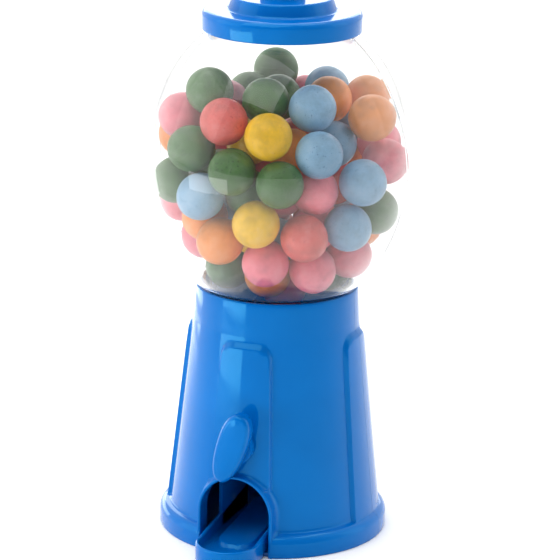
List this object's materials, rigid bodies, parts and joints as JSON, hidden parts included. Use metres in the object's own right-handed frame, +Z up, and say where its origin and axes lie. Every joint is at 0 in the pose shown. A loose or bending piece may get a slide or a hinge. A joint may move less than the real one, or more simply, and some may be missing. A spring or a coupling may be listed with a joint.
{
  "type": "gumball machine",
  "caption": "Toy gumball machine: a clear globe of coloured balls on a flared base with a turn handle, an arched chute mouth, a tray and a lift-off lid with a knob.",
  "frame": {"origin": "middle of the flat underside of the bottom cover, on the table, below the globe's axis", "axes": "+Z up along the globe's axis, -Y to the front where the handle and tray are, +X to the right seen from the front"},
  "size_m": [0.0896, 0.0974, 0.19],
  "materials": {
    "blue_plastic": "glossy saturated blue moulded plastic",
    "inner_blue_plastic": "plain blue moulding",
    "white_plastic": "off-white satin moulding",
    "clear_plastic": "clear polished moulding",
    "screw_steel": "plated pan-head screw",
    "gumball_green": "sugar shell, satin with fine speckle",
    "gumball_coral": "sugar shell, satin with fine speckle",
    "gumball_pink": "sugar shell, satin with fine speckle",
    "gumball_orange": "sugar shell, satin with fine speckle",
    "gumball_yellow": "sugar shell, satin with fine speckle",
    "gumball_blue": "sugar shell, satin with fine speckle"
  },
  "bodies": {
    "base": {"base_front_shell": "blue_plastic", "base_rear_shell": "blue_plastic", "chute_tray": "blue_plastic", "bottom_cover": "inner_blue_plastic", "hopper": "inner_blue_plastic", "drum_housing": "white_plastic", "shaft_bushing": "white_plastic", "globe_front_half": "clear_plastic", "globe_rear_half": "clear_plastic", "cover_screw_1": "screw_steel", "cover_screw_2": "screw_steel", "cover_screw_3": "screw_steel", "shell_screw_1": "screw_steel", "shell_screw_2": "screw_steel", "shell_screw_3": "screw_steel", "shell_screw_4": "screw_steel", "housing_screw_1": "screw_steel", "housing_screw_2": "screw_steel", "gumball_green_1": "gumball_green", "gumball_yellow_1": "gumball_yellow", "gumball_coral_1": "gumball_coral", "gumball_orange_1": "gumball_orange", "gumball_yellow_2": "gumball_yellow", "gumball_coral_2": "gumball_coral", "gumball_green_2": "gumball_green", "gumball_blue_1": "gumball_blue", "gumball_pink_1": "gumball_pink", "gumball_blue_2": "gumball_blue", "gumball_blue_3": "gumball_blue", "gumball_pink_2": "gumball_pink", "gumball_blue_4": "gumball_blue", "gumball_green_3": "gumball_green", "gumball_blue_5": "gumball_blue", "gumball_green_4": "gumball_green", "gumball_orange_2": "gumball_orange", "gumball_pink_3": "gumball_pink", "gumball_pink_4": "gumball_pink", "gumball_blue_6": "gumball_blue", "gumball_pink_5": "gumball_pink", "gumball_green_5": "gumball_green", "gumball_pink_6": "gumball_pink", "gumball_orange_3": "gumball_orange", "gumball_orange_4": "gumball_orange", "gumball_green_6": "gumball_green", "gumball_orange_5": "gumball_orange", "gumball_green_7": "gumball_green", "gumball_pink_7": "gumball_pink", "gumball_pink_8": "gumball_pink", "gumball_green_8": "gumball_green", "gumball_orange_6": "gumball_orange", "gumball_pink_9": "gumball_pink", "gumball_green_9": "gumball_green", "gumball_orange_7": "gumball_orange", "gumball_pink_10": "gumball_pink"},
    "dispenser": {"turn_handle": "blue_plastic", "handle_shaft": "white_plastic", "dispensing_drum": "white_plastic"},
    "lid": {"lid": "blue_plastic", "lid_knob": "blue_plastic", "lid_knob_screw": "screw_steel"}
  },
  "joints": [
    {"name": "handle_turn", "type": "hinge", "parent": "base", "child": "dispenser", "pos_m": [0, 0, 0.0374], "axis": [0, 1, 0], "continuous": true},
    {"name": "lid_lift", "type": "slide", "parent": "base", "child": "lid", "axis": [0, 0, 1], "range_m": [0, 0.03]}
  ]
}
